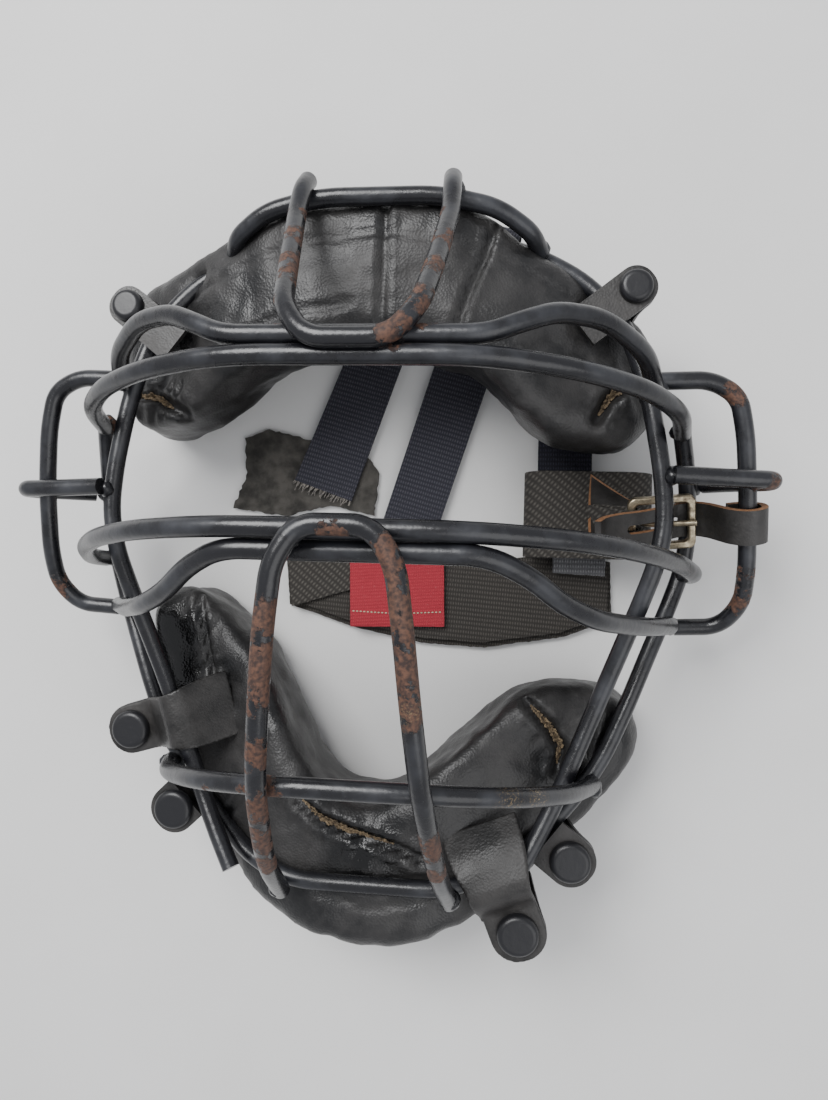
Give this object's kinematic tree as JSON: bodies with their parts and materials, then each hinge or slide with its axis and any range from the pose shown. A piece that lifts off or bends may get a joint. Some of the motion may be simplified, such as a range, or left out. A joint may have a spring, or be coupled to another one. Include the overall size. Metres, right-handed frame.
{
  "type": "catchers mask",
  "caption": "Worn baseball catchers mask: bent steel wire cage, leather forehead and chin pads held by snap tabs, with elastic crown straps and a buckled head band.",
  "frame": {"origin": "on the surface that the pads lie on, under the middle of the whole mask", "axes": "+Z away from the face to the front of the cage, +Y towards the forehead, +X to the right for somebody who faces the wearer"},
  "size_m": [0.2895, 0.2831, 0.14],
  "materials": {
    "coated_wire": "black vinyl coat, scuffed and dusty, rusted through at bends and welds",
    "pad_leather": "worn black leather, dusty, torn at the ends",
    "strap_leather": "worn black leather with brown cut edges",
    "black_snap": "black enamel, scuffed",
    "snap_brass": "dull",
    "buckle_brass": "tarnished",
    "elastic": "charcoal elastic webbing",
    "navy_web": "navy elastic webbing",
    "label_red": "woven label, matt",
    "suede": "suede, frayed"
  },
  "bodies": {
    "cage": {"head_rail": "coated_wire", "jaw_rail": "coated_wire", "crown_arc": "coated_wire", "brow_bar": "coated_wire", "upper_eye_bar": "coated_wire", "lower_eye_bar": "coated_wire", "cheek_bar": "coated_wire", "mouth_bar": "coated_wire", "crown_bar": "coated_wire", "nose_arch": "coated_wire", "ear_loop_left": "coated_wire", "ear_loop_right": "coated_wire", "ear_pin_left": "coated_wire", "ear_pin_right": "coated_wire", "forehead_pad": "pad_leather", "chin_pad": "pad_leather", "chin_snap_right_low_under_strap": "strap_leather", "chin_snap_right_high_under_strap": "strap_leather", "chin_snap_left_high_under_strap": "strap_leather", "chin_snap_left_low_under_strap": "strap_leather", "brow_snap_right_under_strap": "strap_leather", "brow_snap_left_under_strap": "strap_leather", "chin_snap_right_low_stud": "snap_brass", "chin_snap_right_high_stud": "snap_brass", "chin_snap_left_high_stud": "snap_brass", "chin_snap_left_low_stud": "snap_brass", "brow_snap_right_stud": "snap_brass", "brow_snap_left_stud": "snap_brass"},
    "chin_snap_right_low_tab": {"chin_snap_right_low_tab": "strap_leather", "chin_snap_right_low_cap": "black_snap"},
    "chin_snap_right_high_tab": {"chin_snap_right_high_tab": "strap_leather", "chin_snap_right_high_cap": "black_snap"},
    "chin_snap_left_high_tab": {"chin_snap_left_high_tab": "strap_leather", "chin_snap_left_high_cap": "black_snap"},
    "chin_snap_left_low_tab": {"chin_snap_left_low_tab": "strap_leather", "chin_snap_left_low_cap": "black_snap"},
    "brow_snap_right_tab": {"brow_snap_right_tab": "strap_leather", "brow_snap_right_cap": "black_snap"},
    "brow_snap_left_tab": {"brow_snap_left_tab": "strap_leather", "brow_snap_left_cap": "black_snap"},
    "ear_strap": {"ear_strap": "strap_leather"},
    "buckle_frame": {"buckle_frame": "buckle_brass"},
    "buckle_prong": {"buckle_prong": "buckle_brass"},
    "head_band": {"buckle_chape": "elastic", "elastic_roll": "elastic", "head_band": "elastic", "band_label": "label_red", "side_web": "navy_web"},
    "crown_strap_left": {"crown_strap_left": "navy_web", "suede_patch": "suede"},
    "crown_strap_middle": {"crown_strap_middle": "navy_web"}
  },
  "joints": [
    {"name": "chin_snap_right_low_fold", "type": "hinge", "parent": "cage", "child": "chin_snap_right_low_tab", "pos_m": [0.04082, -0.09399, 0.0542], "axis": [-0.9252, -0.3795, 0], "range_deg": [0, 65]},
    {"name": "chin_snap_right_high_fold", "type": "hinge", "parent": "cage", "child": "chin_snap_right_high_tab", "pos_m": [0.06606, -0.10026, 0.0496], "axis": [-0.6018, -0.7986, 0], "range_deg": [0, 60]},
    {"name": "chin_snap_left_high_fold", "type": "hinge", "parent": "cage", "child": "chin_snap_left_high_tab", "pos_m": [-0.05847, -0.05484, 0.0445], "axis": [-0.2924, 0.9563, 0], "range_deg": [0, 65]},
    {"name": "chin_snap_left_low_fold", "type": "hinge", "parent": "cage", "child": "chin_snap_left_low_tab", "pos_m": [-0.0759, -0.0929, 0.0474], "axis": [-0.7071, 0.7071, 0], "range_deg": [0, 60]},
    {"name": "brow_snap_right_fold", "type": "hinge", "parent": "cage", "child": "brow_snap_right_tab", "pos_m": [0.07259, 0.08922, 0.0625], "axis": [0.6157, -0.788, 0], "range_deg": [0, 60]},
    {"name": "brow_snap_left_fold", "type": "hinge", "parent": "cage", "child": "brow_snap_left_tab", "pos_m": [-0.07859, 0.08322, 0.0637], "axis": [0.6157, 0.788, 0], "range_deg": [0, 60]},
    {"name": "ear_strap_swing", "type": "hinge", "parent": "cage", "child": "ear_strap", "pos_m": [0.13523, 0.021, 0.05167], "axis": [-0.0983, 0.9441, 0.3147], "range_deg": [-2.5, 5]},
    {"name": "buckle_frame_tilt", "type": "hinge", "parent": "ear_strap", "child": "buckle_frame", "pos_m": [0.09542, 0.0198, 0.04283], "axis": [0.0983, -0.9441, -0.3147], "range_deg": [0, 8]},
    {"name": "buckle_prong_lift", "type": "hinge", "parent": "buckle_frame", "child": "buckle_prong", "pos_m": [0.09542, 0.0198, 0.04283], "axis": [0.0983, -0.9441, -0.3147], "range_deg": [0, 28]},
    {"name": "head_band_swing", "type": "hinge", "parent": "ear_strap", "child": "head_band", "pos_m": [0.09542, 0.0198, 0.04283], "axis": [-0.0983, 0.9441, 0.3147], "range_deg": [-9, 6]},
    {"name": "crown_strap_left_swing", "type": "hinge", "parent": "cage", "child": "crown_strap_left", "pos_m": [-0.0075, 0.127, 0.054], "axis": [0.9925, -0.1219, 0], "range_deg": [0, 35]},
    {"name": "crown_strap_middle_swing", "type": "hinge", "parent": "cage", "child": "crown_strap_middle", "pos_m": [0.037, 0.12407, 0.054], "axis": [0.9662, -0.2576, 0], "range_deg": [0, 35]}
  ]
}
